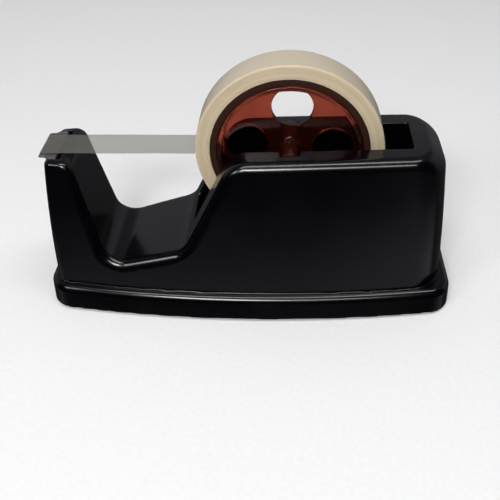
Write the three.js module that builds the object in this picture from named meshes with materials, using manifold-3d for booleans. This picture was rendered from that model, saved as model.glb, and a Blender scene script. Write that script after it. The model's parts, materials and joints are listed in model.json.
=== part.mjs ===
// Weighted desktop tape dispenser with a roll of clear tape on a lift-out hub.
// Millimetres, +Z up, +X towards the tape well, origin under the middle of the base.
import * as THREE from "three";
import { mergeVertices } from "three/addons/utils/BufferGeometryUtils.js";
import Module from "manifold-3d";

const wasm = await Module();
wasm.setup();

// ---------------------------------------------------------------- driving dimensions
const GAP = 0.3; // clearance between neighbouring pieces
const WALL = 2.4; // moulded wall thickness of the housing

const FOOT_PROUD = 1.2; // how far the feet hold the housing off the table
const BASE_HALF_LENGTH = 113;
const BASE_HALF_WIDTH = 40.2; // at the bottom edge, where the base is widest
const BASE_TOP_Z = 15;
const BASE_EDGE_RADIUS = 3.5;
const BASE_CORNER_RADIUS = 12;
const BASE_DRAFT = 0.15; // how much the skirt leans in, per millimetre of height

const BODY_HALF_WIDTH = 34; // where the body stands on the base
const BODY_LEAN = 0.085; // how much the sides lean in, per millimetre of height
const BODY_BOTTOM_Z = 10; // the body's forms begin here, inside the base
const BOW_CENTRE_X = 10.7; // the widest place of the bowed sides
const BOW = 0.000736; // curvature of the bowed sides
const BOW_FADE = 0.01; // how much flatter the rear half of the bow is, per millimetre of height
const EDGE_RADIUS = 5; // rounded edges between the sides and the faces above

const POST_TOP_Z = 89.9;
const POST_SOLID_TOP = 12; // solid head of the post, which holds the blade
const POST_FRONT_X = -107.4;
const POST_FRONT_CURVE_Z = 20; // above this height the front face curves back
const POST_FRONT_CURVE = 0.00084;
const POST_FRONT_RADIUS = 3.5;
const POST_EDGE_RADIUS = 3;
const POST_INNER_X = -89.7; // the post's inner face, at the post's top
const POST_INNER_LEAN = 0.19;

const VALLEY_CORNER = new THREE.Vector2(-79.4, 27.7); // where the inner face and the ramp meet
const VALLEY_RADIUS = 12;
const RAMP_SLOPE = 0.28;
const RAMP_END_X = -8; // the ramp runs on inside the housing as far as this

const HOUSING_TOP_Z = 94.2; // above the hub
const HOUSING_TOP_RISE = 0.03; // the top climbs a little towards the rear
const HOUSING_REAR_X = 108.1;
const HOUSING_REAR_LEAN = 0.03;
const HOUSING_REAR_CURVE = 0.00045;
const HOUSING_REAR_RADIUS = 18;
const FRONT_SLOPE_FOOT = new THREE.Vector2(-37, 35.2);
const FRONT_SLOPE_LEAN = 0.5;

const AXIS = new THREE.Vector2(22.75, 90.5); // hub axis, x and z
const WELL_HALF_WIDTH = 13.3;
const WELL_FRONT_X = -29.5;
const WELL_REAR_X = 86;
const WELL_FLOOR_Z = 36;
const WELL_WALL = 2.2;
const WELL_CORNER_RADIUS = 2;

const TAPE_WIDTH = 19;
const TAPE_RADIUS = 49;
const CORE_OUTER_RADIUS = 41.3;
const CORE_INNER_RADIUS = 38.1;
const HUB_RIM_WIDTH = 19.6;
const HUB_RIM_THICKNESS = 2.4;
const HUB_WEB_THICKNESS = 2.6;
const HUB_HOLE_RADIUS = 10.7;
const HUB_HOLE_PITCH_RADIUS = 22.5;
const HUB_HOLE_TURN = THREE.MathUtils.degToRad(-2.9);
const TRUNNION_RADIUS = 4.7;
const TRUNNION_BORE_RADIUS = 2.6;
const NOTCH_RADIUS = TRUNNION_RADIUS + GAP;
const NOTCH_HALF_WIDTH = 18; // across the well, to the closed ends of the two notches
const TRUNNION_HALF_LENGTH = NOTCH_HALF_WIDTH - 0.4;

const BLADE_THICKNESS = 0.8;
const BLADE_TOP_Z = POST_TOP_Z - 0.1;
const BLADE_TIP_X = -107.4;
const BLADE_SHOULDER_X = -103; // where the blade widens from the teeth to the seat
const BLADE_ROOT_X = -97.8; // back of the tongue that goes down into the post
const BLADE_SEAT_HALF_WIDTH = 14;
const BLADE_TOOTH_HALF_WIDTH = 12;
const BLADE_TOOTH_COUNT = 16;
const BLADE_TOOTH_DEPTH = 1.3;
const BLADE_TONGUE_DEPTH = 7;
const BLADE_SLOT_WIDTH = 3.6;
const BLADE_SIDE_GAP = 0.5;
const STRIP_THICKNESS = 0.4;
const STRIP_TOOTH_COUNT = 12; // points of the torn end

const PLATE_THICKNESS = 2.6;
const FOOT_RADIUS = 8;
const FOOT_THICKNESS = 2.1;
const FOOT_PLACES = { front: [-84, 19], rear: [86, 21] };
const SCREW_SHANK_RADIUS = 1.4;
const SCREW_HEAD_RADIUS = 3.1;
const SCREW_HEAD_HEIGHT = 1.8;
const SCREW_LENGTH = 13;
const SCREW_POINT_LENGTH = 1.5;
const BOSS_RADIUS = 3.4;
const BOSS_TOP_Z = 30;
const BOSS_PLACES = { front: [-101, 9], middle: [-44, 24], rear: [97, 16] };
const BOSS_RIB_REACH = { front: [-4.6, 0], middle: [0, 6.4], rear: [9, 0] }; // to the nearest wall
const BOSS_RIB_HALF_THICKNESS = 1;
const BOSS_BORE_DEPTH = 19;

const BALLAST_CORNER_RADIUS = 4;
const BALLAST_BLOCKS = {
  front: { from: -95, to: -50, halfWidth: 19, height: 18 },
  middle: { from: -38, to: 18, halfWidth: 25, height: 25 },
  rear: { from: 24, to: 90, halfWidth: 23, height: 25 },
};

// ---------------------------------------------------------------- solid helpers
/** Turns a closed geometry into a manifold solid. */
function toSolid(geometry) {
  const bare = geometry.clone();
  bare.deleteAttribute("normal");
  bare.deleteAttribute("uv");
  const welded = mergeVertices(bare, 1e-4);
  const vertProperties = new Float32Array(welded.attributes.position.array);
  const triVerts = new Uint32Array(welded.index.array);
  return new wasm.Manifold(new wasm.Mesh({ numProp: 3, vertProperties, triVerts }));
}

/** Turns a manifold solid back into a geometry. */
function toGeometry(solid) {
  const mesh = solid.getMesh();
  const geometry = new THREE.BufferGeometry();
  const positions = new Float32Array(mesh.numVert * 3);
  for (let i = 0; i < mesh.numVert; i += 1) {
    positions.set(mesh.vertProperties.subarray(i * mesh.numProp, i * mesh.numProp + 3), i * 3);
  }
  geometry.setAttribute("position", new THREE.BufferAttribute(positions, 3));
  geometry.setIndex(new THREE.BufferAttribute(new Uint32Array(mesh.triVerts), 1));
  geometry.computeVertexNormals();
  return geometry;
}

function joined(...geometries) {
  return geometries.map(toSolid).reduce((whole, next) => whole.add(next));
}

function cutBy(solid, ...geometries) {
  return geometries.map(toSolid).reduce((rest, tool) => rest.subtract(tool), solid);
}

/** Closed solid through a row of rings that all have the same number of points. */
function loft(rings) {
  const count = rings[0].length;
  const positions = rings.flat().flatMap((point) => point.toArray());
  const index = [];
  for (let level = 0; level + 1 < rings.length; level += 1) {
    for (let i = 0; i < count; i += 1) {
      const next = (i + 1) % count;
      const [a, b] = [level * count + i, level * count + next];
      index.push(a, b, b + count, a, b + count, a + count);
    }
  }
  for (const [level, flip] of [[0, true], [rings.length - 1, false]]) {
    const middle = new THREE.Vector3();
    rings[level].forEach((point) => middle.addScaledVector(point, 1 / count));
    const hub = positions.length / 3;
    positions.push(...middle.toArray());
    for (let i = 0; i < count; i += 1) {
      const pair = [level * count + i, level * count + ((i + 1) % count)];
      index.push(hub, ...(flip ? pair.reverse() : pair));
    }
  }
  const geometry = new THREE.BufferGeometry();
  geometry.setAttribute("position", new THREE.Float32BufferAttribute(positions, 3));
  geometry.setIndex(index);
  geometry.computeVertexNormals();
  return geometry;
}

/** Extrudes an outline drawn in x and z along y, between two y values. */
function extrudeAlongY(shape, yFrom, yTo, curveSegments = 12) {
  const depth = yTo - yFrom;
  const geometry = new THREE.ExtrudeGeometry(shape, { depth, bevelEnabled: false, curveSegments });
  return geometry.rotateX(Math.PI / 2).translate(0, yTo, 0);
}

/** Extrudes an outline drawn in x and y upwards, between two heights. */
function extrudeUp(shape, zFrom, zTo, curveSegments = 6) {
  const depth = zTo - zFrom;
  const geometry = new THREE.ExtrudeGeometry(shape, { depth, bevelEnabled: false, curveSegments });
  return geometry.translate(0, 0, zFrom);
}

function box(xFrom, xTo, yFrom, yTo, zFrom, zTo) {
  const geometry = new THREE.BoxGeometry(xTo - xFrom, yTo - yFrom, zTo - zFrom);
  return geometry.translate((xFrom + xTo) / 2, (yFrom + yTo) / 2, (zFrom + zTo) / 2);
}

function roundedRectangle(xFrom, xTo, halfWidth, radius) {
  const shape = new THREE.Shape();
  shape.moveTo(xFrom + radius, -halfWidth);
  shape.lineTo(xTo - radius, -halfWidth);
  shape.absarc(xTo - radius, -halfWidth + radius, radius, -Math.PI / 2, 0);
  shape.lineTo(xTo, halfWidth - radius);
  shape.absarc(xTo - radius, halfWidth - radius, radius, 0, Math.PI / 2);
  shape.lineTo(xFrom + radius, halfWidth);
  shape.absarc(xFrom + radius, halfWidth - radius, radius, Math.PI / 2, Math.PI);
  shape.lineTo(xFrom, -halfWidth + radius);
  shape.absarc(xFrom + radius, -halfWidth + radius, radius, Math.PI, Math.PI * 1.5);
  return shape;
}

/** Solid of revolution about the world z axis, from a closed or axis-to-axis profile. */
function turnedUpright(profile, segments) {
  const points = profile.map(([radius, height]) => new THREE.Vector2(radius, height));
  return new THREE.LatheGeometry(points, segments).rotateX(Math.PI / 2);
}

/** Solid of revolution about the hub axis, which runs along y. */
function turnedOnHubAxis(profile, segments) {
  const points = profile.map(([radius, along]) => new THREE.Vector2(radius, along));
  return new THREE.LatheGeometry(points, segments).translate(AXIS.x, 0, AXIS.y);
}

// ---------------------------------------------------------------- the body's outer form
/** Half width of the body at a place along it and a height. */
function bodyHalfWidth(x, z) {
  const height = z - BASE_TOP_Z;
  const fade = x > BOW_CENTRE_X ? 1 - BOW_FADE * height : 1;
  return BODY_HALF_WIDTH - BOW * fade * (x - BOW_CENTRE_X) ** 2 - BODY_LEAN * height;
}

/** Half width of the base skirt. */
function baseHalfWidth(x, z) {
  return BASE_HALF_WIDTH - BOW * (x - BOW_CENTRE_X) ** 2 - BASE_DRAFT * (z - FOOT_PROUD);
}

/** The post's outer face stands upright, then curves back as it rises. */
function postFrontX(z) {
  return POST_FRONT_X + POST_FRONT_CURVE * Math.max(z - POST_FRONT_CURVE_Z, 0) ** 2;
}

function postInnerX(z) {
  return POST_INNER_X + POST_INNER_LEAN * (POST_TOP_Z - z);
}

/** The rear wall leans in a little more with height. */
function housingRearX(z) {
  const height = z - BASE_TOP_Z;
  return HOUSING_REAR_X - HOUSING_REAR_LEAN * height - HOUSING_REAR_CURVE * height ** 2;
}

function frontSlopeX(z) {
  return FRONT_SLOPE_FOOT.x + FRONT_SLOPE_LEAN * (z - FRONT_SLOPE_FOOT.y);
}

function housingTopZ(x) {
  return HOUSING_TOP_Z + HOUSING_TOP_RISE * (x - AXIS.x);
}

/** Height of the valley floor: a straight ramp that curves up into the post's inner face. */
function valleyZ(x) {
  const rampAngle = Math.atan(RAMP_SLOPE);
  const faceAngle = Math.PI / 2 + Math.atan(POST_INNER_LEAN);
  const reach = VALLEY_RADIUS / Math.sin((faceAngle - rampAngle) / 2);
  const middleAngle = (faceAngle + rampAngle) / 2;
  const centreX = VALLEY_CORNER.x + reach * Math.cos(middleAngle);
  const centreZ = VALLEY_CORNER.y + reach * Math.sin(middleAngle);
  if (x > centreX + VALLEY_RADIUS * Math.sin(rampAngle)) {
    return VALLEY_CORNER.y + RAMP_SLOPE * (x - VALLEY_CORNER.x);
  }
  return centreZ - Math.sqrt(Math.max(VALLEY_RADIUS ** 2 - (x - centreX) ** 2, 0));
}

/** Ring at one height: straight ends, bowed sides and round corners, counter-clockwise. */
function planRing({ z, from, to, halfWidth, frontRadius, rearRadius, inset = 0, heightAt }) {
  const sideSteps = 9;
  const cornerSteps = 5;
  const [xFrom, xTo] = [from + inset, to - inset];
  const front = Math.max(frontRadius - inset, 0.4);
  const rear = Math.max(rearRadius - inset, 0.4);
  const half = [];
  for (let i = 0; i <= cornerSteps; i += 1) {
    const angle = (Math.PI / 2) * (i / cornerSteps);
    const centreY = halfWidth(xFrom + front) - inset - front;
    half.push([xFrom + front - front * Math.cos(angle), centreY + front * Math.sin(angle)]);
  }
  for (let i = 1; i < sideSteps; i += 1) {
    const x = THREE.MathUtils.lerp(xFrom + front, xTo - rear, i / sideSteps);
    half.push([x, halfWidth(x) - inset]);
  }
  for (let i = 0; i <= cornerSteps; i += 1) {
    const angle = (Math.PI / 2) * (1 - i / cornerSteps);
    const centreY = halfWidth(xTo - rear) - inset - rear;
    half.push([xTo - rear + rear * Math.cos(angle), centreY + rear * Math.sin(angle)]);
  }
  const near = half.map(([x, y]) => [x, -y]);
  const far = [...half].reverse();
  return [...near, ...far].map(([x, y]) => new THREE.Vector3(x, y, heightAt ? heightAt(x) : z));
}

/** Evenly spaced values from one to another, both included. */
function evenly(from, to, count) {
  return Array.from({ length: count }, (_, i) => THREE.MathUtils.lerp(from, to, i / (count - 1)));
}

/** Heights and insets of the rings that round a top edge. */
function roundedTop(topZ, radius, steps = 4) {
  return Array.from({ length: steps + 1 }, (_, i) => {
    const angle = (Math.PI / 2) * (i / steps);
    return { z: topZ - radius + radius * Math.sin(angle), inset: radius * (1 - Math.cos(angle)) };
  });
}

/** Base skirt. A positive shrink gives the hollow inside it. */
function baseForm(shrink) {
  const topZ = BASE_TOP_Z - shrink;
  const levels = [{ z: FOOT_PROUD, inset: 0 }, ...roundedTop(topZ, BASE_EDGE_RADIUS)];
  if (shrink > 0) {
    levels.unshift({ z: FOOT_PROUD - shrink, inset: 0 });
  }
  return loft(levels.map(({ z, inset }) => planRing({
    z,
    inset: inset + shrink,
    from: -BASE_HALF_LENGTH,
    to: BASE_HALF_LENGTH,
    halfWidth: (x) => baseHalfWidth(x, Math.max(Math.min(z, topZ - BASE_EDGE_RADIUS), FOOT_PROUD)),
    frontRadius: BASE_CORNER_RADIUS,
    rearRadius: BASE_CORNER_RADIUS,
  })));
}

/** Front post. A positive shrink gives the hollow inside it. */
function postForm(shrink) {
  const topZ = shrink > 0 ? POST_TOP_Z - POST_SOLID_TOP : POST_TOP_Z;
  const levels = evenly(BODY_BOTTOM_Z, topZ - 2 * POST_EDGE_RADIUS, 6).map((z) => ({ z, inset: 0 }));
  levels.push(...roundedTop(topZ, POST_EDGE_RADIUS));
  return loft(levels.map(({ z, inset }) => planRing({
    z,
    inset: inset + shrink,
    from: postFrontX(z),
    to: postInnerX(z),
    halfWidth: (x) => bodyHalfWidth(x, z),
    frontRadius: POST_FRONT_RADIUS,
    rearRadius: EDGE_RADIUS,
  })));
}

/** Low part between post and housing, lofted from inside the one to inside the other. */
function valleyForm(shrink) {
  const curveEndX = VALLEY_CORNER.x + VALLEY_RADIUS;
  const stations = [
    ...evenly(VALLEY_CORNER.x - VALLEY_RADIUS / 2, curveEndX, 9),
    ...evenly(curveEndX, RAMP_END_X, 7).slice(1),
  ];
  return loft(stations.map((x) => {
    const topZ = valleyZ(x) - shrink;
    const half = [[bodyHalfWidth(x, BODY_BOTTOM_Z) - shrink, BODY_BOTTOM_Z]];
    for (const { z, inset } of roundedTop(topZ, EDGE_RADIUS)) {
      half.push([bodyHalfWidth(x, topZ - EDGE_RADIUS) - shrink - inset, z]);
    }
    const otherHalf = half.map(([y, z]) => [-y, z]).reverse();
    return [...half, ...otherHalf].map(([y, z]) => new THREE.Vector3(x, y, z));
  }));
}

/** Rear housing with its sloping front. A positive shrink gives the hollow inside it. */
function housingForm(shrink) {
  const topZ = HOUSING_TOP_Z - shrink;
  const tiltAt = (z) => (z / HOUSING_TOP_Z) ** 4; // the top's rise fades out further down
  const levels = evenly(BODY_BOTTOM_Z, topZ - 2 * EDGE_RADIUS, 6).map((z) => ({ z, inset: 0 }));
  levels.push(...roundedTop(topZ, EDGE_RADIUS));
  return loft(levels.map(({ z, inset }) => planRing({
    z,
    inset: inset + shrink,
    from: frontSlopeX(Math.max(z, FRONT_SLOPE_FOOT.y)),
    to: housingRearX(z),
    halfWidth: (x) => bodyHalfWidth(x, z),
    frontRadius: EDGE_RADIUS,
    rearRadius: HOUSING_REAR_RADIUS,
    heightAt: (x) => z + (housingTopZ(x) - HOUSING_TOP_Z) * tiltAt(z),
  })));
}

// ---------------------------------------------------------------- housing shell
/** U-shaped notch that carries the trunnions, open at the top. */
function notchTool(grow) {
  const radius = NOTCH_RADIUS + grow;
  const openTop = HOUSING_TOP_Z + (grow > 0 ? 0 : TAPE_RADIUS);
  const shape = new THREE.Shape();
  shape.moveTo(AXIS.x + radius, openTop);
  shape.lineTo(AXIS.x - radius, openTop);
  shape.lineTo(AXIS.x - radius, AXIS.y);
  shape.absarc(AXIS.x, AXIS.y, radius, Math.PI, Math.PI * 2);
  shape.closePath();
  return extrudeAlongY(shape, -NOTCH_HALF_WIDTH - grow, NOTCH_HALF_WIDTH + grow);
}

function wellTool(grow) {
  const shape = roundedRectangle(
    WELL_FRONT_X - grow,
    WELL_REAR_X + grow,
    WELL_HALF_WIDTH + grow,
    WELL_CORNER_RADIUS + grow,
  );
  return extrudeUp(shape, WELL_FLOOR_Z - grow, HOUSING_TOP_Z + TAPE_RADIUS);
}

/** Screw boss with the rib that ties it to the nearest wall. */
function bossForm(place, side) {
  const [x, y] = [BOSS_PLACES[place][0], BOSS_PLACES[place][1] * side];
  const bottomZ = FOOT_PROUD + PLATE_THICKNESS + GAP;
  const height = BOSS_TOP_Z - bottomZ;
  const boss = new THREE.CylinderGeometry(BOSS_RADIUS, BOSS_RADIUS, height, 20);
  boss.rotateX(Math.PI / 2).translate(x, y, bottomZ + height / 2);
  const [reachX, reachY] = [BOSS_RIB_REACH[place][0], BOSS_RIB_REACH[place][1] * side];
  const half = BOSS_RIB_HALF_THICKNESS;
  const rib = box(
    Math.min(x - half, x + reachX),
    Math.max(x + half, x + reachX),
    Math.min(y - half, y + reachY),
    Math.max(y + half, y + reachY),
    bottomZ + half,
    BOSS_TOP_Z - half,
  );
  return joined(boss, rib);
}

function bossBore(place, side) {
  const [x, y] = BOSS_PLACES[place];
  const radius = SCREW_SHANK_RADIUS + GAP;
  const bore = new THREE.CylinderGeometry(radius, radius, BOSS_BORE_DEPTH, 16);
  return bore.rotateX(Math.PI / 2).translate(x, y * side, FOOT_PROUD + BOSS_BORE_DEPTH / 2);
}

/** Slot behind the blade's edge, and the shallow seat that the blade lies on. */
function bladeSeatTools() {
  const slotFrontX = BLADE_ROOT_X - BLADE_THICKNESS - GAP;
  const slotHalf = BLADE_SEAT_HALF_WIDTH + BLADE_SIDE_GAP;
  const slotBottom = BLADE_TOP_Z - BLADE_TONGUE_DEPTH - BLADE_SIDE_GAP;
  const seatZ = BLADE_TOP_Z - BLADE_THICKNESS - GAP;
  const aboveZ = POST_TOP_Z + BLADE_TONGUE_DEPTH;
  return [
    box(slotFrontX, slotFrontX + BLADE_SLOT_WIDTH, -slotHalf, slotHalf, slotBottom, aboveZ),
    box(BLADE_TIP_X, slotFrontX + BLADE_SIDE_GAP, -slotHalf, slotHalf, seatZ, aboveZ),
  ];
}

function housingShell() {
  const outside = joined(baseForm(0), postForm(0), valleyForm(0), housingForm(0));
  let hollow = joined(baseForm(WALL), postForm(WALL), valleyForm(WALL), housingForm(WALL));
  hollow = cutBy(hollow, wellTool(WELL_WALL), notchTool(WELL_WALL));
  for (const place of Object.keys(BOSS_PLACES)) {
    hollow = hollow.subtract(bossForm(place, 1)).subtract(bossForm(place, -1));
  }
  let shell = outside.subtract(hollow);
  shell = cutBy(shell, wellTool(0), notchTool(0), ...bladeSeatTools());
  for (const place of Object.keys(BOSS_PLACES)) {
    shell = cutBy(shell, bossBore(place, 1), bossBore(place, -1));
  }
  return toGeometry(shell);
}

// ---------------------------------------------------------------- underside
function basePlate() {
  const topZ = FOOT_PROUD + PLATE_THICKNESS;
  const plate = toSolid(loft([FOOT_PROUD, topZ].map((z) => planRing({
    z,
    inset: WALL + GAP,
    from: -BASE_HALF_LENGTH,
    to: BASE_HALF_LENGTH,
    halfWidth: (x) => baseHalfWidth(x, z),
    frontRadius: BASE_CORNER_RADIUS,
    rearRadius: BASE_CORNER_RADIUS,
  }))));
  const tools = [];
  for (const side of [1, -1]) {
    for (const [x, y] of Object.values(FOOT_PLACES)) {
      const pocket = new THREE.CylinderGeometry(FOOT_RADIUS + GAP, FOOT_RADIUS + GAP, 2 * FOOT_PROUD, 32);
      tools.push(pocket.rotateX(Math.PI / 2).translate(x, y * side, FOOT_PROUD));
    }
    for (const [x, y] of Object.values(BOSS_PLACES)) {
      const sink = turnedUpright([
        [0, FOOT_PROUD - 1],
        [SCREW_HEAD_RADIUS + GAP + 1, FOOT_PROUD - 1],
        [SCREW_SHANK_RADIUS + GAP, FOOT_PROUD + SCREW_HEAD_HEIGHT],
        [SCREW_SHANK_RADIUS + GAP, topZ + 1],
        [0, topZ + 1],
      ], 20);
      tools.push(sink.translate(x, y * side, 0));
    }
  }
  return toGeometry(cutBy(plate, ...tools));
}

function foot() {
  const chamfer = 0.4;
  return turnedUpright([
    [0, 0],
    [FOOT_RADIUS - chamfer, 0],
    [FOOT_RADIUS, chamfer],
    [FOOT_RADIUS, FOOT_THICKNESS],
    [0, FOOT_THICKNESS],
  ], 32);
}

/** Countersunk self-tapping screw, head down, with its head just inside the plate. */
function baseScrew() {
  const headZ = FOOT_PROUD + 0.1;
  return turnedUpright([
    [0, headZ],
    [SCREW_HEAD_RADIUS, headZ],
    [SCREW_SHANK_RADIUS, headZ + SCREW_HEAD_HEIGHT],
    [SCREW_SHANK_RADIUS, headZ + SCREW_LENGTH - SCREW_POINT_LENGTH],
    [0, headZ + SCREW_LENGTH],
  ], 16);
}

function ballastBlock({ from, to, halfWidth, height }) {
  const bottomZ = FOOT_PROUD + PLATE_THICKNESS + 2 * GAP;
  const outline = roundedRectangle(from, to, halfWidth, BALLAST_CORNER_RADIUS);
  return extrudeUp(outline, bottomZ, bottomZ + height, 4);
}

// ---------------------------------------------------------------- cutter
/** Zigzag along y at the cutting edge, from the near end to the far end. */
function toothLine(tipX, halfWidth, count, depth) {
  const points = [];
  for (let i = 0; i <= 2 * count; i += 1) {
    const y = THREE.MathUtils.lerp(-halfWidth, halfWidth, i / (2 * count));
    points.push(new THREE.Vector2(i % 2 === 0 ? tipX + depth : tipX, y));
  }
  return points;
}

/** Angled steel blade: a toothed plate on top and a tongue down into the post. */
function cutterBlade() {
  const plateShape = new THREE.Shape([
    ...toothLine(BLADE_TIP_X, BLADE_TOOTH_HALF_WIDTH, BLADE_TOOTH_COUNT, BLADE_TOOTH_DEPTH).reverse(),
    new THREE.Vector2(BLADE_SHOULDER_X - 1, -BLADE_TOOTH_HALF_WIDTH),
    new THREE.Vector2(BLADE_SHOULDER_X + 1, -BLADE_SEAT_HALF_WIDTH),
    new THREE.Vector2(BLADE_ROOT_X, -BLADE_SEAT_HALF_WIDTH),
    new THREE.Vector2(BLADE_ROOT_X, BLADE_SEAT_HALF_WIDTH),
    new THREE.Vector2(BLADE_SHOULDER_X + 1, BLADE_SEAT_HALF_WIDTH),
    new THREE.Vector2(BLADE_SHOULDER_X - 1, BLADE_TOOTH_HALF_WIDTH),
  ]);
  const plate = extrudeUp(plateShape, BLADE_TOP_Z - BLADE_THICKNESS, BLADE_TOP_Z);
  const tongue = box(
    BLADE_ROOT_X - BLADE_THICKNESS,
    BLADE_ROOT_X,
    -BLADE_SEAT_HALF_WIDTH,
    BLADE_SEAT_HALF_WIDTH,
    BLADE_TOP_Z - BLADE_TONGUE_DEPTH,
    BLADE_TOP_Z - BLADE_THICKNESS / 2,
  );
  return toGeometry(joined(plate, tongue));
}

// ---------------------------------------------------------------- hub and tape
/** One-piece hub: rim, web with four round holes, and a hollow trunnion on each side. */
function hubWheel() {
  const rimOuter = CORE_INNER_RADIUS - GAP;
  const rimInner = rimOuter - HUB_RIM_THICKNESS;
  const rimHalf = HUB_RIM_WIDTH / 2;
  const webHalf = HUB_WEB_THICKNESS / 2;
  const wheel = turnedOnHubAxis([
    [TRUNNION_BORE_RADIUS, -TRUNNION_HALF_LENGTH],
    [TRUNNION_RADIUS, -TRUNNION_HALF_LENGTH],
    [TRUNNION_RADIUS, -webHalf],
    [rimInner, -webHalf],
    [rimInner, -rimHalf],
    [rimOuter, -rimHalf],
    [rimOuter, rimHalf],
    [rimInner, rimHalf],
    [rimInner, webHalf],
    [TRUNNION_RADIUS, webHalf],
    [TRUNNION_RADIUS, TRUNNION_HALF_LENGTH],
    [TRUNNION_BORE_RADIUS, TRUNNION_HALF_LENGTH],
    [TRUNNION_BORE_RADIUS, -TRUNNION_HALF_LENGTH],
  ], 64);
  const holes = [0, 1, 2, 3].map((quarter) => {
    const angle = (Math.PI / 2) * (quarter + 1) + HUB_HOLE_TURN;
    const hole = new THREE.CylinderGeometry(HUB_HOLE_RADIUS, HUB_HOLE_RADIUS, HUB_WEB_THICKNESS + 4, 32);
    return hole.translate(
      AXIS.x + HUB_HOLE_PITCH_RADIUS * Math.cos(angle),
      0,
      AXIS.y + HUB_HOLE_PITCH_RADIUS * Math.sin(angle),
    );
  });
  return toGeometry(cutBy(toSolid(wheel), ...holes));
}

function ring(innerRadius, outerRadius, width, segments) {
  return turnedOnHubAxis([
    [innerRadius, -width / 2],
    [outerRadius, -width / 2],
    [outerRadius, width / 2],
    [innerRadius, width / 2],
    [innerRadius, -width / 2],
  ], segments);
}

/** Free end of the tape, from the roll to the blade, torn along the teeth. */
function tapeStrip() {
  const startX = AXIS.x - TAPE_RADIUS - GAP;
  const tornX = BLADE_TIP_X + GAP;
  const bottomZ = BLADE_TOP_Z + GAP;
  const shape = new THREE.Shape([
    ...toothLine(tornX, TAPE_WIDTH / 2, STRIP_TOOTH_COUNT, BLADE_TOOTH_DEPTH).reverse(),
    new THREE.Vector2(startX, -TAPE_WIDTH / 2),
    new THREE.Vector2(startX, TAPE_WIDTH / 2),
  ]);
  return extrudeUp(shape, bottomZ, bottomZ + STRIP_THICKNESS);
}

// ---------------------------------------------------------------- assembly
const BLACK_PLASTIC = { color: 0x0d0e13, roughness: 0.3, metalness: 0 };
const BASE_PLASTIC = { color: 0x15161a, roughness: 0.55, metalness: 0 };
const CAST_IRON = { color: 0x3a3a3c, roughness: 0.8, metalness: 0.6 };
const RUBBER = { color: 0x1b1b1b, roughness: 0.9, metalness: 0 };
const STEEL = { color: 0xb9b6b2, roughness: 0.3, metalness: 1 };
const RED_PLASTIC = { color: 0x8a2f1e, roughness: 0.25, metalness: 0 };
const CARDBOARD = { color: 0x4a3216, roughness: 0.8, metalness: 0 };
const CLEAR_TAPE = { color: 0xd9d1b4, roughness: 0.25, metalness: 0 };

const group = new THREE.Group();

function addPiece(name, geometry, finish, parent = group) {
  const mesh = new THREE.Mesh(geometry, new THREE.MeshStandardMaterial(finish));
  mesh.name = name;
  parent.add(mesh);
  return mesh;
}

addPiece("housing_shell", housingShell(), BLACK_PLASTIC);
addPiece("base_plate", basePlate(), BASE_PLASTIC);
for (const [place, block] of Object.entries(BALLAST_BLOCKS)) {
  addPiece(`ballast_${place}`, ballastBlock(block), CAST_IRON);
}
for (const [sideName, side] of [["left", 1], ["right", -1]]) {
  for (const [place, [x, y]] of Object.entries(FOOT_PLACES)) {
    addPiece(`foot_${place}_${sideName}`, foot(), RUBBER).position.set(x, y * side, 0);
  }
  for (const [place, [x, y]] of Object.entries(BOSS_PLACES)) {
    addPiece(`base_screw_${place}_${sideName}`, baseScrew(), STEEL).position.set(x, y * side, 0);
  }
}
addPiece("cutter_blade", cutterBlade(), STEEL);

const spool = new THREE.Group();
group.add(spool);
addPiece("hub_wheel", hubWheel(), RED_PLASTIC, spool);
addPiece("tape_core", ring(CORE_INNER_RADIUS, CORE_OUTER_RADIUS, TAPE_WIDTH, 64), CARDBOARD, spool);
addPiece("tape_roll", ring(CORE_OUTER_RADIUS + GAP, TAPE_RADIUS, TAPE_WIDTH, 72), CLEAR_TAPE, spool);
addPiece("tape_strip", tapeStrip(), CLEAR_TAPE);

export default group;
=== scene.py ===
import json
import math

import bmesh
import bpy
import numpy as np
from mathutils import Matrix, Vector


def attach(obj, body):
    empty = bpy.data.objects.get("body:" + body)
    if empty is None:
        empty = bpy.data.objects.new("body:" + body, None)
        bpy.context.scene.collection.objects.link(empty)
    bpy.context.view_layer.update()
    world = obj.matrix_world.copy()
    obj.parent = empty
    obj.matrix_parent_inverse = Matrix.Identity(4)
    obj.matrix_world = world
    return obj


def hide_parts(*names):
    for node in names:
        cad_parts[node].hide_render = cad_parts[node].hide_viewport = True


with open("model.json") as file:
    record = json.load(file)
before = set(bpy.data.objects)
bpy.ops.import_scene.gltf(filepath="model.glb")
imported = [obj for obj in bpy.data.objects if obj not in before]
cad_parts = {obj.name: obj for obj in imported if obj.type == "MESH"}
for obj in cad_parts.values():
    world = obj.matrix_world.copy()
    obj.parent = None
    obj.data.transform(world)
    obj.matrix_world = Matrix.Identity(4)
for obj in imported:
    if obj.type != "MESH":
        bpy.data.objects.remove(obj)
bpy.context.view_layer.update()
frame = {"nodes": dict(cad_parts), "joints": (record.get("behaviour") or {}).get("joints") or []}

MM = 0.001

# ---------------------------------------------------------------- driving dimensions, in millimetres
WALL = 2.4

FOOT_PROUD = 1.2
BASE_HALF_LENGTH = 113
BASE_HALF_WIDTH = 40.2
BASE_TOP_Z = 15
BASE_EDGE_RADIUS = 3.5
BASE_CORNER_RADIUS = 12
BASE_DRAFT = 0.15
BASE_CREASE_RADIUS = 0.25  # where the body stands on the skirt
BOTTOM_EDGE_RADIUS = 0.6

BODY_HALF_WIDTH = 34
BODY_LEAN = 0.085
BOW_CENTRE_X = 10.7
BOW = 0.000736  # curvature of the bowed sides
BOW_FADE = 0.01  # the rear half of the bow flattens with height
EDGE_RADIUS = 5
REAR_EDGE_RADIUS = 12

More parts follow.
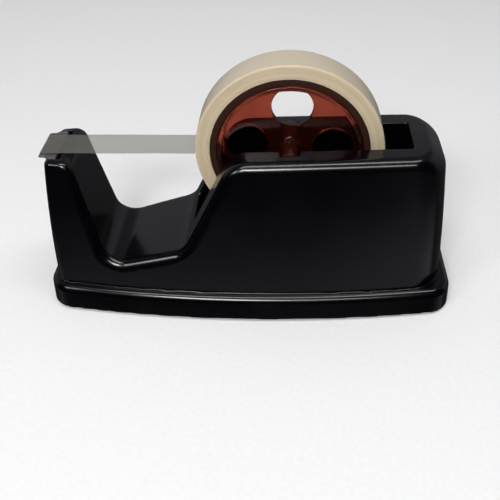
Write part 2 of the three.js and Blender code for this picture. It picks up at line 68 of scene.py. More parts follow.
POST_TOP_Z = 89.9
POST_SOLID_TOP = 12
POST_EDGE_END_X = -86
POST_FRONT_X = -107.4
POST_FRONT_CURVE_Z = 20
POST_FRONT_CURVE = 0.00084
POST_FRONT_RADIUS = 3.5
POST_EDGE_RADIUS = 3
POST_BROW_RADIUS = 5
POST_INNER_X = -89.7
POST_INNER_LEAN = 0.19

VALLEY_CORNER_X, VALLEY_CORNER_Z = -79.4, 27.7
VALLEY_RADIUS = 12
RAMP_SLOPE = 0.28
RAMP_CREASE_RADIUS = 3

HOUSING_TOP_Z = 94.2
HOUSING_TOP_RISE = 0.03
HOUSING_REAR_X = 108.1
HOUSING_REAR_LEAN = 0.03
HOUSING_REAR_CURVE = 0.00045
HOUSING_REAR_RADIUS = 18
HOUSING_BROW_RADIUS = 8
FRONT_SLOPE_X, FRONT_SLOPE_Z = -37, 35.2
FRONT_SLOPE_LEAN = 0.5

AXIS_X, _, AXIS_Z = (value / MM for value in frame["joints"][1]["pos_m"])
WELL_HALF_WIDTH = 13.3
WELL_FRONT_X = -29.5
WELL_REAR_X = 86
WELL_FLOOR_Z = 36
WELL_WALL = 2.2
WELL_CORNER_RADIUS = 2
WELL_FLOOR_RADIUS = 1.5
WELL_TO_NOTCH_RADIUS = 0.5
RIM_RADIUS = 0.4
NOTCH_RADIUS = 5
NOTCH_HALF_WIDTH = 18

TAPE_HALF_WIDTH = 9.5
TAPE_RADIUS = 49
CORE_OUTER_RADIUS = 41.3
CORE_INNER_RADIUS = 38.1
ROLL_INNER_RADIUS = 41.6
ROLL_CORNER_RADIUS = 0.8
HUB_RADIUS = 37.8
HUB_RIM_HALF_WIDTH = 9.8
HUB_RIM_THICKNESS = 2.4
HUB_WEB_HALF_THICKNESS = 1.3
HUB_FILLET_RADIUS = 0.8
HUB_EDGE_RADIUS = 0.5
HUB_HOLE_EDGE_RADIUS = 0.3
HUB_HOLE_RADIUS = 10.7
HUB_HOLE_PITCH_RADIUS = 22.5
HUB_HOLE_TURN = math.radians(-2.9)
TRUNNION_RADIUS = 4.7
TRUNNION_BORE_RADIUS = 2.6
TRUNNION_HALF_LENGTH = 17.6

BLADE_THICKNESS = 0.8
BLADE_TOP_Z = 89.8
BLADE_TIP_X = -107.4
BLADE_SHOULDER_X = -103  # where the toothed part widens to the seat
BLADE_ROOT_X = -97.8
BLADE_BEND_RADIUS = 1.2
BLADE_SEAT_HALF_WIDTH = 14
BLADE_TOOTH_HALF_WIDTH = 12
BLADE_TOOTH_COUNT = 16
BLADE_TOOTH_DEPTH = 1.3
BLADE_TONGUE_DEPTH = 7
BLADE_SLOT_WIDTH = 3.6
BLADE_SIDE_GAP = 0.5
SLOT_EDGE_RADIUS = 0.25
FILM_THICKNESS = 0.08
FILM_LIFT = 0.5  # the free tape lies this far above the blade
FILM_TOOTH_COUNT = 12
GAP = 0.3

BOSS_RADIUS = 3.4
BOSS_TOP_Z = 30
BOSS_PLACES = [(-101, 9), (-44, 24), (97, 16)]
BOSS_BORE_TOP_Z = 20
SCREW_SHANK_RADIUS = 1.4


# ---------------------------------------------------------------- camera, floor and light
def add_camera():
    data = bpy.data.cameras.new("camera")
    data.sensor_width = 36
    data.lens = 52.24
    data.shift_x = -0.0796
    data.shift_y = -0.067
    camera = bpy.data.objects.new("camera", data)
    camera.location = (0.02465, -0.3297, 0.2876)
    camera.rotation_euler = (math.radians(53.43), 0, math.radians(0.37))
    bpy.context.scene.collection.objects.link(camera)
    bpy.context.scene.camera = camera


def add_area_light(name, place, size, power, in_reflections=True):
    """A soft light aimed at the middle of the dispenser."""
    data = bpy.data.lights.new(name, "AREA")
    data.shape = "RECTANGLE"
    data.size, data.size_y = size
    data.energy = power
    light = bpy.data.objects.new(name, data)
    light.location = place
    light.visible_glossy = in_reflections
    direction = Vector((0, 0, 0.05)) - Vector(place)
    light.rotation_euler = direction.to_track_quat("-Z", "Y").to_euler()
    bpy.context.scene.collection.objects.link(light)


def add_world():
    """A dim room. Its far wall is pale near the ground; the side nearest the camera is dark."""
    world = bpy.data.worlds.new("studio")
    world.use_nodes = True
    tree = world.node_tree
    place = tree.nodes.new("ShaderNodeTexCoord")
    direction = tree.nodes.new("ShaderNodeSeparateXYZ")
    tree.links.new(place.outputs["Generated"], direction.inputs[0])

    def graded(axis, start, end, low, high):
        """Brightness that goes from low to high along one axis of the direction."""
        grade = tree.nodes.new("ShaderNodeMapRange")
        tree.links.new(direction.outputs[axis], grade.inputs["Value"])
        sockets = ("From Min", "From Max", "To Min", "To Max")
        for socket, value in zip(sockets, (start, end, low, high)):
            if isinstance(value, bpy.types.NodeSocket):
                tree.links.new(value, grade.inputs[socket])
            else:
                grade.inputs[socket].default_value = value
        return grade.outputs[0]

    far_ground = graded("Z", -0.45, 0.4, 0.05, 0.34)
    far_side = graded("Z", 0.49, 0.56, far_ground, 0.14)
    near_side = graded("Z", -0.56, -0.47, 0.36, 0)
    background = tree.nodes["Background"]
    tree.links.new(graded("Y", -0.1, 0.1, near_side, far_side), background.inputs["Strength"])
    background.inputs["Color"].default_value = (0.96, 0.92, 1, 1)
    bpy.context.scene.world = world


# ---------------------------------------------------------------- materials
class Finish:
    """A Principled material, with short calls for the nodes that vary it over the surface."""

    def __init__(self, name, **values):
        self.material = bpy.data.materials.new(name)
        self.material.use_nodes = True
        self.nodes = self.material.node_tree.nodes
        self.links = self.material.node_tree.links
        self.shader = self.nodes["Principled BSDF"]
        self.place = self.nodes.new("ShaderNodeTexCoord").outputs["Object"]
        for name, value in values.items():
            self.set(name.replace("_", " ").title().replace("Ior", "IOR"), value)

    def set(self, socket, value):
        """Sets or links one socket of the shader."""
        self.feed(self.shader.inputs[socket], value)

    def feed(self, socket, value):
        if isinstance(value, bpy.types.NodeSocket):
            self.links.new(value, socket)
        elif hasattr(value, "__len__") and len(value) == 3 and len(socket.default_value) == 4:
            socket.default_value = (*value, 1)
        else:
            socket.default_value = value

    def node(self, kind, inputs, **settings):
        made = self.nodes.new("ShaderNode" + kind)
        for name, value in settings.items():
            setattr(made, name, value)
        for socket, value in inputs.items():
            self.feed(made.inputs[socket], value)
        return made

    def noise(self, scale, detail=3, stretch=(1, 1, 1), place=None):
        """Noise from 0 to 1, with scale in features per metre."""
        stretched = self.node("VectorMath", {0: place or self.place, 1: stretch}, operation="MULTIPLY")
        inputs = {"Vector": stretched.outputs[0], "Scale": scale, "Detail": detail}
        return self.node("TexNoise", inputs).outputs[0]

    def spread(self, factor, low, high, start=0.3, end=0.7):
        """A number that goes from low to high as the factor goes from start to end."""
        inputs = {"Value": factor, "From Min": start, "From Max": end, "To Min": low, "To Max": high}
        return self.node("MapRange", inputs).outputs[0]

    def colours(self, factor, low, high, start=0.3, end=0.7):
        """A colour that goes from low to high as the factor goes from start to end."""
        ramp = self.node("ValToRGB", {"Fac": factor})
        for point, position, colour in zip(ramp.color_ramp.elements, (start, end), (low, high)):
            point.position = position
            point.color = (*colour, 1)
        return ramp.outputs[0]

    def paint(self, *gradient):
        self.set("Base Color", self.colours(*gradient))

    def blended(self, factor, first, second):
        """The first colour where the factor is 0, the second where it is 1."""
        return self.node("Mix", {"Factor": factor, "A": first, "B": second}, data_type="RGBA").outputs[2]

    def bump(self, height, distance, strength=1.0, under=None):
        """Relief from a height between 0 and 1, distance in millimetres."""
        inputs = {"Height": height, "Distance": distance * MM, "Strength": strength}
        if under is not None:
            inputs["Normal"] = under
        return self.node("Bump", inputs).outputs[0]

    def hub_radius(self):
        """Distance from the hub axis, in metres."""
        centre = (AXIS_X * MM, 0, AXIS_Z * MM)
        offset = self.node("VectorMath", {0: self.place, 1: centre}, operation="SUBTRACT").outputs[0]
        flat = self.node("VectorMath", {0: offset, 1: (1, 0, 1)}, operation="MULTIPLY").outputs[0]
        return self.node("VectorMath", {0: flat}, operation="LENGTH").outputs["Value"]


def glossy_black():
    """Moulded black plastic: a faint fine grain, hazy patches from handling and hair scratches."""
    finish = Finish("glossy_black", ior=1.5)
    handling = finish.noise(35, 4)
    grain = finish.noise(2600, 2)
    scratches = finish.noise(260, 2, stretch=(1, 9, 9))
    finish.paint(handling, (0.0006, 0.0006, 0.0011), (0.001, 0.001, 0.0018))
    finish.set("Roughness", finish.spread(handling, 0.16, 0.22))
    relief = finish.bump(scratches, 0.004, 0.35)
    finish.set("Normal", finish.bump(grain, 0.006, 0.3, relief))
    return finish.material


def base_black():
    finish = Finish("base_black", ior=1.45)
    grain = finish.noise(1500, 3)
    patches = finish.noise(60, 3)
    finish.paint(patches, (0.007, 0.007, 0.008), (0.012, 0.012, 0.013))
    finish.set("Roughness", finish.spread(patches, 0.45, 0.6))
    finish.set("Normal", finish.bump(grain, 0.05, 0.5))
    return finish.material


def cast_iron():
    finish = Finish("cast_iron", metallic=0.7)
    sand = finish.noise(900, 6)
    rust = finish.noise(90, 5)
    finish.paint(rust, (0.06, 0.06, 0.062), (0.11, 0.06, 0.035), 0.45, 0.7)
    finish.set("Roughness", finish.spread(sand, 0.65, 0.9))
    finish.set("Normal", finish.bump(sand, 0.3, 0.8))
    return finish.material


def rubber():
    finish = Finish("rubber", ior=1.4)
    grain = finish.noise(1800, 3)
    dust = finish.noise(300, 4)
    finish.paint(dust, (0.012, 0.012, 0.012), (0.03, 0.029, 0.027), 0.4, 0.75)
    finish.set("Roughness", finish.spread(dust, 0.75, 0.95))
    finish.set("Normal", finish.bump(grain, 0.08, 0.6))
    return finish.material


def screw_steel():
    finish = Finish("screw_steel", metallic=1.0)
    patches = finish.noise(700, 4)
    finish.paint(patches, (0.42, 0.41, 0.38), (0.58, 0.56, 0.52))
    finish.set("Roughness", finish.spread(patches, 0.25, 0.45))
    finish.set("Normal", finish.bump(patches, 0.02, 0.4))
    return finish.material


def blade_steel():
    """Stamped steel strip, brushed along its length, with fine drawn lines."""
    finish = Finish("blade_steel", metallic=1.0)
    brushed = finish.noise(320, 3, stretch=(12, 1, 1))
    stains = finish.noise(180, 4)
    finish.paint(stains, (0.30, 0.275, 0.265), (0.46, 0.42, 0.405))
    finish.set("Roughness", finish.spread(brushed, 0.3, 0.48))
    finish.set("Normal", finish.bump(brushed, 0.02, 0.5))
    return finish.material


def red_clear_plastic():
    """See-through red hub plastic, with faint flow lines round the axis and fine scratches."""
    finish = Finish("red_clear_plastic", ior=1.4)
    flow = finish.noise(70, 3)
    scuffs = finish.noise(900, 3, stretch=(1, 1, 3))
    finish.paint(flow, (0.27, 0.045, 0.025), (0.33, 0.068, 0.039))
    finish.set("Roughness", finish.spread(flow, 0.06, 0.12))
    finish.set("Transmission Weight", 0.97)
    finish.set("Normal", finish.bump(scuffs, 0.01, 0.3))
    return finish.material


def cardboard():
    """Wound paper core: thin layers round the axis and a fibrous surface. Its kraft brown is painted
    almost black, which is painted shade.
    """
    finish = Finish("cardboard", specular_ior_level=0.12)
    rings = finish.node("CombineXYZ", {"X": finish.hub_radius()}).outputs[0]
    layers = finish.noise(4200, 1, place=rings)
    fibres = finish.noise(1500, 4)
    # painted shade: the kraft paper's brown is painted far darker than the paper itself is
    finish.paint(layers, (0.014, 0.004, 0.0022), (0.034, 0.011, 0.006))
    finish.set("Roughness", finish.spread(fibres, 0.6, 0.85))
    relief = finish.bump(layers, 0.08, 0.7)
    finish.set("Normal", finish.bump(fibres, 0.04, 0.5, relief))
    return finish.material


def wound_tape():
    """Clear tape in a thick roll: creamy, soft light inside it, edges of the turns on its faces."""
    finish = Finish("wound_tape", ior=1.4)
    radius = finish.hub_radius()
    rings = finish.node("CombineXYZ", {"X": radius}).outputs[0]
    turns = finish.noise(5200, 2, place=rings)
    bands = finish.noise(420, 2, place=rings)
    cloud = finish.noise(45, 3)
    cream = finish.colours(bands, (0.42, 0.35, 0.225), (0.52, 0.445, 0.305))
    inside = finish.blended(finish.spread(cloud, 0, 0.5), cream, (0.48, 0.385, 0.285))
    to_skin = finish.spread(radius, 0, 1, (TAPE_RADIUS - 0.35) * MM, (TAPE_RADIUS - 0.1) * MM)
    finish.set("Base Color", finish.blended(to_skin, inside, (0.45, 0.395, 0.305)))
    finish.set("Roughness", finish.spread(turns, 0.38, 0.5))
    finish.set("Subsurface Weight", 0.45)
    finish.set("Subsurface Radius", (1.0, 0.85, 0.6))
    finish.set("Subsurface Scale", 0.004)
    finish.set("Coat Weight", 0.35)
    finish.set("Coat Roughness", 0.12)
    finish.set("Normal", finish.bump(turns, 0.03, 0.5))
    return finish.material


def tape_film():
    """The free tape: a thin greyish film that dims what lies behind it."""
    finish = Finish("tape_film", ior=1.4)
    streaks = finish.noise(160, 3, stretch=(0.3, 3, 1))
    finish.paint(streaks, (0.34, 0.34, 0.32), (0.39, 0.385, 0.36))
    finish.set("Roughness", finish.spread(streaks, 0.16, 0.26))
    finish.set("Normal", finish.bump(streaks, 0.05, 0.4))
    clear = finish.node("BsdfTransparent", {"Color": (0.71, 0.705, 0.69)})
    mixed = finish.node("MixShader", {0: 0.16, 1: clear.outputs[0], 2: finish.shader.outputs[0]})
    finish.links.new(mixed.outputs[0], finish.nodes["Material Output"].inputs["Surface"])
    return finish.material


def pale_floor():
    """Matt, almost white board with a very fine speckle."""
    finish = Finish("pale_floor")
    speckle = finish.noise(400, 3)
    finish.paint(speckle, (0.70, 0.70, 0.70), (0.73, 0.73, 0.73))
    finish.set("Roughness", finish.spread(speckle, 0.7, 0.8))
    return finish.material


# ---------------------------------------------------------------- solid fields
# A field is a distance in millimetres, negative inside the solid.
def common(a, b, radius):
    """What two solids share, with the edge between them rounded."""
    past_a, past_b = np.maximum(a + radius, 0), np.maximum(b + radius, 0)
    return np.minimum(np.maximum(a, b) + radius, 0) + np.hypot(past_a, past_b) - radius


def united(a, b, radius):
    """Two solids together, with a fillet where they meet."""
    return -common(-a, -b, radius)


def cut(solid, tool, radius):
    """A solid without the tool's space, with a rounded rim."""
    return common(solid, -tool, radius)


def smooth_step(value, start, end):
    share = np.clip((value - start) / (end - start), 0, 1)
    return share * share * (3 - 2 * share)


def side_field(x, y, z):
    height = z - BASE_TOP_Z
    fade = np.where(x > BOW_CENTRE_X, 1 - BOW_FADE * height, 1)
    half_width = BODY_HALF_WIDTH - BOW * fade * (x - BOW_CENTRE_X) ** 2 - BODY_LEAN * height
    return np.abs(y) - half_width


def front_field(x, z):
    return POST_FRONT_X + POST_FRONT_CURVE * np.maximum(z - POST_FRONT_CURVE_Z, 0) ** 2 - x


def rear_field(x, z):
    height = z - BASE_TOP_Z
    return x - (HOUSING_REAR_X - HOUSING_REAR_LEAN * height - HOUSING_REAR_CURVE * height**2)


def top_field(x, z):
    """Everything under the outline of post, valley, ramp, sloping front and housing top."""
    inner_face = (x - POST_INNER_X - POST_INNER_LEAN * (POST_TOP_Z - z)) / math.hypot(1, POST_INNER_LEAN)
    post = common(inner_face, z - POST_TOP_Z, POST_BROW_RADIUS)
    ramp_z = VALLEY_CORNER_Z + RAMP_SLOPE * (x - VALLEY_CORNER_X)
    ramp = (z - ramp_z) / math.hypot(1, RAMP_SLOPE)
    slope_x = FRONT_SLOPE_X + FRONT_SLOPE_LEAN * (z - FRONT_SLOPE_Z)
    slope = (slope_x - x) / math.hypot(1, FRONT_SLOPE_LEAN)
    roof = z - HOUSING_TOP_Z - HOUSING_TOP_RISE * (x - AXIS_X)
    housing = common(slope, roof, HOUSING_BROW_RADIUS)
    return united(united(post, ramp, VALLEY_RADIUS), housing, RAMP_CREASE_RADIUS)


def body_field(x, y, z):
    plan = common(side_field(x, y, z), front_field(x, z), POST_FRONT_RADIUS)
    plan = common(plan, rear_field(x, z), HOUSING_REAR_RADIUS)
    past_post = smooth_step(x, POST_EDGE_END_X - 10, POST_EDGE_END_X)
    at_rear = smooth_step(x, WELL_REAR_X - 1, WELL_REAR_X + 19)
    edge = POST_EDGE_RADIUS + (EDGE_RADIUS - POST_EDGE_RADIUS) * past_post
    edge += (REAR_EDGE_RADIUS - EDGE_RADIUS) * at_rear
    return common(plan, top_field(x, z), edge)


def skirt_field(x, y, z):
    half_width = BASE_HALF_WIDTH - BOW * (x - BOW_CENTRE_X) ** 2 - BASE_DRAFT * (z - FOOT_PROUD)
    plan = common(np.abs(y) - half_width, np.abs(x) - BASE_HALF_LENGTH, BASE_CORNER_RADIUS)
    return common(plan, z - BASE_TOP_Z, BASE_EDGE_RADIUS)


def well_field(x, y, z):
    middle = (WELL_FRONT_X + WELL_REAR_X) / 2
    half_length = (WELL_REAR_X - WELL_FRONT_X) / 2
    plan = common(np.abs(x - middle) - half_length, np.abs(y) - WELL_HALF_WIDTH, WELL_CORNER_RADIUS)
    return common(plan, WELL_FLOOR_Z - z, WELL_FLOOR_RADIUS)


def notch_field(x, y, z):
    across = np.hypot(x - AXIS_X, np.minimum(z - AXIS_Z, 0)) - NOTCH_RADIUS
    return np.maximum(across, np.abs(y) - NOTCH_HALF_WIDTH)


def boss_field(x, y, z):
    nearest = np.full_like(x, np.inf)
    for place_x, place_y in BOSS_PLACES:
        nearest = np.minimum(nearest, np.hypot(x - place_x, np.abs(y) - place_y))
    return nearest, np.maximum(nearest - BOSS_RADIUS, z - BOSS_TOP_Z)


def box_field(x, y, z, x_from, x_to, half_width, z_from):
    """A box that is open towards the top."""
    length = np.maximum(x_from - x, x - x_to)
    return np.maximum(np.maximum(length, np.abs(y) - half_width), z_from - z)


def housing_field(x, y, z):
    """The whole moulding: outer form, tape well, trunnion notches, blade seat and hollow underside."""
    outer = united(body_field(x, y, z), skirt_field(x, y, z), BASE_CREASE_RADIUS)
    well = well_field(x, y, z)
    notch = notch_field(x, y, z)
    opening = united(well, notch, WELL_TO_NOTCH_RADIUS)
    solid = cut(common(outer, FOOT_PROUD - z, BOTTOM_EDGE_RADIUS), opening, RIM_RADIUS)

    slot_front = BLADE_ROOT_X - BLADE_THICKNESS - GAP
    slot_half = BLADE_SEAT_HALF_WIDTH + BLADE_SIDE_GAP
    slot_floor = BLADE_TOP_Z - BLADE_TONGUE_DEPTH - BLADE_SIDE_GAP
    seat_z = BLADE_TOP_Z - BLADE_THICKNESS - GAP
    slot = box_field(x, y, z, slot_front, slot_front + BLADE_SLOT_WIDTH, slot_half, slot_floor)
    seat = box_field(x, y, z, BLADE_TIP_X - 5, slot_front + BLADE_SIDE_GAP, slot_half, seat_z)
    solid = cut(solid, np.minimum(slot, seat), SLOT_EDGE_RADIUS)

    to_boss, boss = boss_field(x, y, z)
    head = np.maximum(POST_TOP_Z - POST_SOLID_TOP - z, x - VALLEY_CORNER_X)
    hollow = outer + WALL
    for kept in (well - WELL_WALL, notch - WALL, boss, head):
        hollow = np.maximum(hollow, -kept)
    bore = np.maximum(to_boss - SCREW_SHANK_RADIUS - GAP, z - BOSS_BORE_TOP_Z)
    return np.maximum(np.maximum(solid, -hollow), -bore)


def hub_field(x, y, z):
    """Rim, web with four round holes, and a hollow trunnion on each side."""
    radius = np.hypot(x - AXIS_X, z - AXIS_Z)
    rim = np.maximum(radius - HUB_RADIUS, HUB_RADIUS - HUB_RIM_THICKNESS - radius)
    rim = common(rim, np.abs(y) - HUB_RIM_HALF_WIDTH, HUB_EDGE_RADIUS)
    web = np.maximum(radius - HUB_RADIUS + 1, np.abs(y) - HUB_WEB_HALF_THICKNESS)
    trunnion = common(radius - TRUNNION_RADIUS, np.abs(y) - TRUNNION_HALF_LENGTH, HUB_EDGE_RADIUS)
    solid = united(united(rim, web, HUB_FILLET_RADIUS), trunnion, HUB_FILLET_RADIUS)
    for quarter in range(4):
        angle = math.pi / 2 * quarter + HUB_HOLE_TURN
        hole_x = AXIS_X + HUB_HOLE_PITCH_RADIUS * math.cos(angle)
        hole_z = AXIS_Z + HUB_HOLE_PITCH_RADIUS * math.sin(angle)
        hole = np.hypot(x - hole_x, z - hole_z) - HUB_HOLE_RADIUS
        solid = cut(solid, hole, HUB_HOLE_EDGE_RADIUS)
    return cut(solid, radius - TRUNNION_BORE_RADIUS, HUB_HOLE_EDGE_RADIUS)


# ---------------------------------------------------------------- from a field to a mesh
def grid_line(start, *runs):
    """Grid places from start through (end, step) runs."""
    pieces = []
    for end, step in runs:
        count = max(round((end - start) / step), 1)
        pieces.append(np.linspace(start, end, count, endpoint=False))
        start = end
    return np.concatenate([*pieces, [start]])


def mirrored(line):
    """A grid line from its positive half."""
    return np.concatenate([-line[:0:-1], line])


def slopes(field, points, reach=0.04):
    """Gradient of the field at each point."""
    columns = []
    for axis in range(3):
        offset = np.zeros(3)
        offset[axis] = reach
        ahead, behind = field(*(points + offset).T), field(*(points - offset).T)
        columns.append((ahead - behind) / (2 * reach))
    return np.stack(columns, axis=1)


def part_of(array, axis, start, count):
    window = [slice(None)] * array.ndim
    window[axis] = slice(start, start + count)
    return array[tuple(window)]


def surface_net(field, lines, longest_step):
    """Quads and vertices on the field's zero level, over a grid that may be uneven."""
    grid = np.meshgrid(*lines, indexing="ij")
    value = field(*grid)
    place = np.stack(grid, axis=-1)
    cells = tuple(size - 1 for size in value.shape)
    total, count = np.zeros((*cells, 3)), np.zeros(cells)
    crossings = []
    for axis in range(3):
        low, high = (part_of(value, axis, start, cells[axis]) for start in (0, 1))
        crossing = (low < 0) != (high < 0)
        share = np.divide(low, low - high, out=np.zeros_like(low), where=crossing)[..., None]
        start_place, end_place = (part_of(place, axis, start, cells[axis]) for start in (0, 1))
        met = (start_place + share * (end_place - start_place)) * crossing[..., None]
        second, third = (axis + 1) % 3, (axis + 2) % 3
        for step_second in (0, 1):
            for step_third in (0, 1):
                window = part_of(met, second, step_second, cells[second])
                total += part_of(window, third, step_third, cells[third])
                window = part_of(crossing, second, step_second, cells[second])
                count += part_of(window, third, step_third, cells[third])
        crossings.append((crossing, low < 0))
    used = count > 0
    number = np.full(cells, -1)
    number[used] = np.arange(used.sum())
    points = total[used] / count[used][:, None]

    quads = []
    for axis, (crossing, low_inside) in enumerate(crossings):
        second, third = (axis + 1) % 3, (axis + 2) % 3
        inner = part_of(part_of(crossing, second, 1, cells[second] - 1), third, 1, cells[third] - 1)
        outward = part_of(part_of(low_inside, second, 1, cells[second] - 1), third, 1, cells[third] - 1)
        at = np.argwhere(inner)
        corners = []
        for step_second, step_third in ((0, 0), (1, 0), (1, 1), (0, 1)):
            corner = at.copy()
            corner[:, second] += step_second
            corner[:, third] += step_third
            corners.append(number[tuple(corner.T)])
        quad = np.stack(corners, axis=1)
        facing = outward[tuple(at.T)]
        quad[~facing] = quad[~facing][:, ::-1]
        quads.append(quad)

    for _ in range(4):
        slope = slopes(field, points)
        steepness = np.maximum((slope**2).sum(1), 0.3)
        move = -slope * (field(*points.T) / steepness)[:, None]
        length = np.linalg.norm(move, axis=1, keepdims=True)
        points += move * np.minimum(1, 0.5 * longest_step / np.maximum(length, 1e-9))
    slope = slopes(field, points)
    normals = slope / np.maximum(np.linalg.norm(slope, axis=1, keepdims=True), 1e-9)
    return points, np.concatenate(quads), normals


# ---------------------------------------------------------------- placing pieces
def place_piece(name, mesh, material, body, nodes):
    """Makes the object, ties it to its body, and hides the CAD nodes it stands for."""
    piece = bpy.data.objects.new(name, mesh)
    bpy.context.scene.collection.objects.link(piece)
    mesh.materials.append(material)
    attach(piece, body)
    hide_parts(*nodes)
    return piece


def field_mesh(name, field, lines, longest_step):
    points, quads, normals = surface_net(field, lines, longest_step)
    mesh = bpy.data.meshes.new(name)
    mesh.from_pydata((points * MM).tolist(), [], quads.tolist())
    mesh.shade_smooth()
    mesh.normals_split_custom_set_from_vertices(normals.tolist())
    return mesh


def rounded_corners(outline, radius, steps=4):
    """A closed outline with each right-angled corner turned into an arc."""
    made = []
    for index, corner in enumerate(outline):
        corner = Vector(corner)
        before = (Vector(outline[index - 1]) - corner).normalized()
        after = (Vector(outline[(index + 1) % len(outline)]) - corner).normalized()
        centre = corner + (before + after) * radius
        for step in range(steps + 1):
            angle = math.pi / 2 * step / steps
            made.append(centre - after * radius * math.cos(angle) - before * radius * math.sin(angle))
    return made


def turned_mesh(name, outline, centre, axis="y", segments=128, smooth_angle=35):
    """Turns a closed outline of (radius, along) points, in millimetres, round an upright or level axis."""
    shape = bmesh.new()
    rings = []
    for segment in range(segments):
        angle = 2 * math.pi * segment / segments
        ring = []
        for radius, along in outline:
            across, up = radius * math.cos(angle), radius * math.sin(angle)
            offset = Vector((across, along, up)) if axis == "y" else Vector((across, up, along))
            ring.append(shape.verts.new((Vector(centre) + offset) * MM))
        rings.append(ring)
    for segment, ring in enumerate(rings):
        following = rings[(segment + 1) % segments]
        for index in range(len(ring)):
            after = (index + 1) % len(ring)
            shape.faces.new((ring[index], ring[after], following[after], following[index]))
    bmesh.ops.recalc_face_normals(shape, faces=shape.faces)
    mesh = bpy.data.meshes.new(name)
    shape.to_mesh(mesh)
    shape.free()
    mesh.shade_smooth()
    mesh.set_sharp_from_angle(angle=math.radians(smooth_angle))
    return mesh


def strip_mesh(name, rows):
    """An open sheet through rows of points, in millimetres."""
    shape = bmesh.new()
    made = [[shape.verts.new(Vector(point) * MM) for point in row] for row in rows]
    for row, following in zip(made, made[1:]):
        for index in range(len(row) - 1):
            shape.faces.new((row[index], following[index], following[index + 1], row[index + 1]))
    mesh = bpy.data.meshes.new(name)
    shape.to_mesh(mesh)
    shape.free()
    mesh.shade_smooth()
    return mesh


def thicken(piece, thickness, offset, bevel=0):
    solid = piece.modifiers.new("thickness", "SOLIDIFY")
    solid.thickness = thickness * MM
    solid.offset = offset
    if bevel:
        edge = piece.modifiers.new("edges", "BEVEL")
        edge.width = bevel * MM
        edge.segments = 2
        edge.limit_method = "ANGLE"
        edge.angle_limit = math.radians(40)
        edge.harden_normals = True


# ---------------------------------------------------------------- the pieces
# The grids are fine where a piece has rims, notches and small radii, and coarse between them.
def make_housing():
    along = grid_line(-114.5, (-110, 1.1), (-88, 0.6), (-84, 1), (-33, 1.5), (-26, 0.75), (14, 1.5),
                      (32, 0.9), (82, 1.5), (88, 0.75), (114.5, 1.4))
    across = mirrored(grid_line(0, (11, 1.375), (21.2, 0.6), (41.4, 1.34)))
    up = grid_line(0.3, (2.7, 0.6), (11.7, 1.5), (17.7, 0.75), (33, 1.53), (37, 0.8), (79, 1.5),
                   (98.3, 0.7))
    mesh = field_mesh("housing", housing_field, (along, across, up), 1.5)
    place_piece("housing", mesh, glossy_black(), "dispenser", ["housing_shell"])


def make_hub():
    reach = HUB_RADIUS + 1
    along = grid_line(AXIS_X - reach, (AXIS_X + reach, 0.65))
    up = grid_line(AXIS_Z - reach, (AXIS_Z + reach, 0.65))
    across = mirrored(grid_line(0, (2.4, 0.4), (9, 0.7), (10.5, 0.4), (16.6, 0.7), (18.6, 0.4)))
    mesh = field_mesh("hub", hub_field, (along, across, up), 0.65)
    place_piece("hub", mesh, red_clear_plastic(), "spool", ["hub_wheel"])


def make_core():
    outline = rounded_corners([
        (CORE_INNER_RADIUS, -TAPE_HALF_WIDTH),
        (CORE_OUTER_RADIUS, -TAPE_HALF_WIDTH),
        (CORE_OUTER_RADIUS, TAPE_HALF_WIDTH),
        (CORE_INNER_RADIUS, TAPE_HALF_WIDTH),
    ], 0.3)
    mesh = turned_mesh("core", outline, (AXIS_X, 0, AXIS_Z))
    place_piece("core", mesh, cardboard(), "spool", ["tape_core"])


def make_roll():
    """The roll's faces are not quite flat: its turns stand a few hundredths in or out."""
    turns = 48
    edge = 0.2
    face_y = TAPE_HALF_WIDTH - 0.09
    radii = np.linspace(ROLL_INNER_RADIUS + edge, TAPE_RADIUS - ROLL_CORNER_RADIUS, turns)
    unevenness = 0.05 * np.sin(radii * 5.1) * np.cos(radii * 2.3) + 0.03 * np.sin(radii * 17)
    far = [(radius, face_y + rise) for radius, rise in zip(radii, unevenness)]
    for angle in np.linspace(0.2, math.pi / 2, 6):
        radius = TAPE_RADIUS - ROLL_CORNER_RADIUS * (1 - math.sin(angle))
        far.append((radius, face_y - ROLL_CORNER_RADIUS * (1 - math.cos(angle))))
    near = [(radius, -along) for radius, along in far]
    outline = [
        (ROLL_INNER_RADIUS, -TAPE_HALF_WIDTH + edge),
        *near,
        *reversed(far),
        (ROLL_INNER_RADIUS, TAPE_HALF_WIDTH - edge),
    ]
    mesh = turned_mesh("roll", outline, (AXIS_X, 0, AXIS_Z), segments=160)
    place_piece("roll", mesh, wound_tape(), "spool", ["tape_roll"])


def tooth_places(half_width, count):
    """Places across the cutting edge, and whether each one is the bottom of a tooth gap."""
    return [(half_width * (index / count - 1), index % 2 == 0) for index in range(2 * count + 1)]


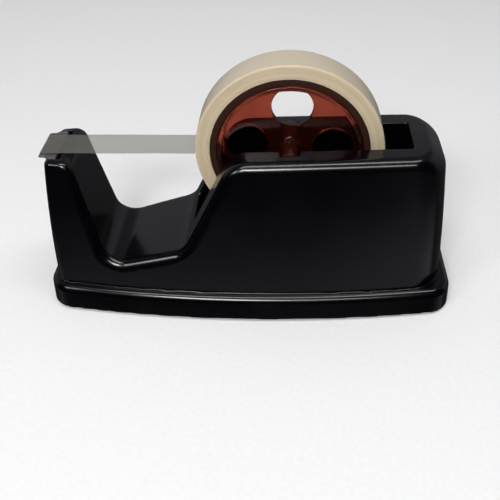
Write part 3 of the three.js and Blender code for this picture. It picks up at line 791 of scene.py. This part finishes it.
def make_blade():
    """A toothed plate that widens to its seat, then bends down into a tongue."""
    half_widths = [
        (BLADE_TIP_X + BLADE_TOOTH_DEPTH + 0.5, BLADE_TOOTH_HALF_WIDTH),
        (BLADE_SHOULDER_X - 1, BLADE_TOOTH_HALF_WIDTH),
        (BLADE_SHOULDER_X + 1, BLADE_SEAT_HALF_WIDTH),
        (BLADE_SHOULDER_X + 3, BLADE_SEAT_HALF_WIDTH),
    ]
    bend = []
    for angle in np.linspace(0, math.pi / 2, 7):
        x = BLADE_ROOT_X - BLADE_BEND_RADIUS * (1 - math.sin(angle))
        bend.append((x, BLADE_TOP_Z - BLADE_BEND_RADIUS * (1 - math.cos(angle))))
    bend.append((BLADE_ROOT_X, BLADE_TOP_Z - BLADE_TONGUE_DEPTH + 0.1))

    rows = [[
        (BLADE_TIP_X + (BLADE_TOOTH_DEPTH if gap else 0), y, BLADE_TOP_Z)
        for y, gap in tooth_places(BLADE_TOOTH_HALF_WIDTH, BLADE_TOOTH_COUNT)
    ]]
    for x, half_width in half_widths:
        rows.append([(x, y, BLADE_TOP_Z) for y, _ in tooth_places(half_width, BLADE_TOOTH_COUNT)])
    for x, z in bend:
        rows.append([(x, y, z) for y, _ in tooth_places(BLADE_SEAT_HALF_WIDTH, BLADE_TOOTH_COUNT)])
    mesh = strip_mesh("blade", rows)
    piece = place_piece("blade", mesh, blade_steel(), "dispenser", ["cutter_blade"])
    thicken(piece, BLADE_THICKNESS, -1, bevel=0.1)


def make_free_tape():
    """Film from the roll to the blade, faintly rippled across and torn along the teeth."""
    end_x = AXIS_X - TAPE_RADIUS - GAP
    tear_x = BLADE_TIP_X + 0.2
    film_z = BLADE_TOP_Z + FILM_LIFT
    places = tooth_places(TAPE_HALF_WIDTH, FILM_TOOTH_COUNT)
    rows = [[(tear_x + (BLADE_TOOTH_DEPTH if gap else 0), y, film_z) for y, gap in places]]
    for x in np.linspace(tear_x + BLADE_TOOTH_DEPTH + 0.6, end_x, 60):
        ripple = 0.1 * math.sin(x * 0.11) * smooth_step(x, -100, -80)
        rows.append([(x, y, film_z + ripple * math.sin(y * 0.21 + x * 0.05)) for y, _ in places])
    mesh = strip_mesh("free_tape", rows)
    piece = place_piece("free_tape", mesh, tape_film(), "tape_end", ["tape_strip"])
    thicken(piece, FILM_THICKNESS, 0)


def finish_cad_nodes():
    """Materials for the CAD nodes whose shape is right already."""
    finishes = {
        "base_plate": base_black(),
        "ballast_": cast_iron(),
        "foot_": rubber(),
        "base_screw_": screw_steel(),
    }
    for name, node in frame["nodes"].items():
        for start, material in finishes.items():
            if name.startswith(start):
                node.data.materials.clear()
                node.data.materials.append(material)


def make_floor():
    shape = bmesh.new()
    bmesh.ops.create_grid(shape, x_segments=8, y_segments=8, size=3)
    mesh = bpy.data.meshes.new("floor")
    shape.to_mesh(mesh)
    shape.free()
    floor = bpy.data.objects.new("floor", mesh)
    bpy.context.scene.collection.objects.link(floor)
    mesh.materials.append(pale_floor())
    floor.visible_glossy = False  # the glossy sides mirror the dim room instead


add_camera()
add_world()
add_area_light("window", (-0.32, -1.35, 1.15), (0.6, 0.3), 18)
add_area_light("lamp", (-1.05, -0.9, 1.0), (0.35, 0.35), 4)
add_area_light("window side", (0.24, -1.35, 1.15), (0.5, 0.26), 4)
add_area_light("ceiling", (0.1, -0.35, 1.65), (1.8, 0.25), 13)
add_area_light("fill", (0, 0.1, 2.4), (3, 3), 24, in_reflections=False)
bpy.context.scene.view_settings.view_transform = "Standard"

make_floor()
make_housing()
make_hub()
make_core()
make_roll()
make_blade()
make_free_tape()
finish_cad_nodes()
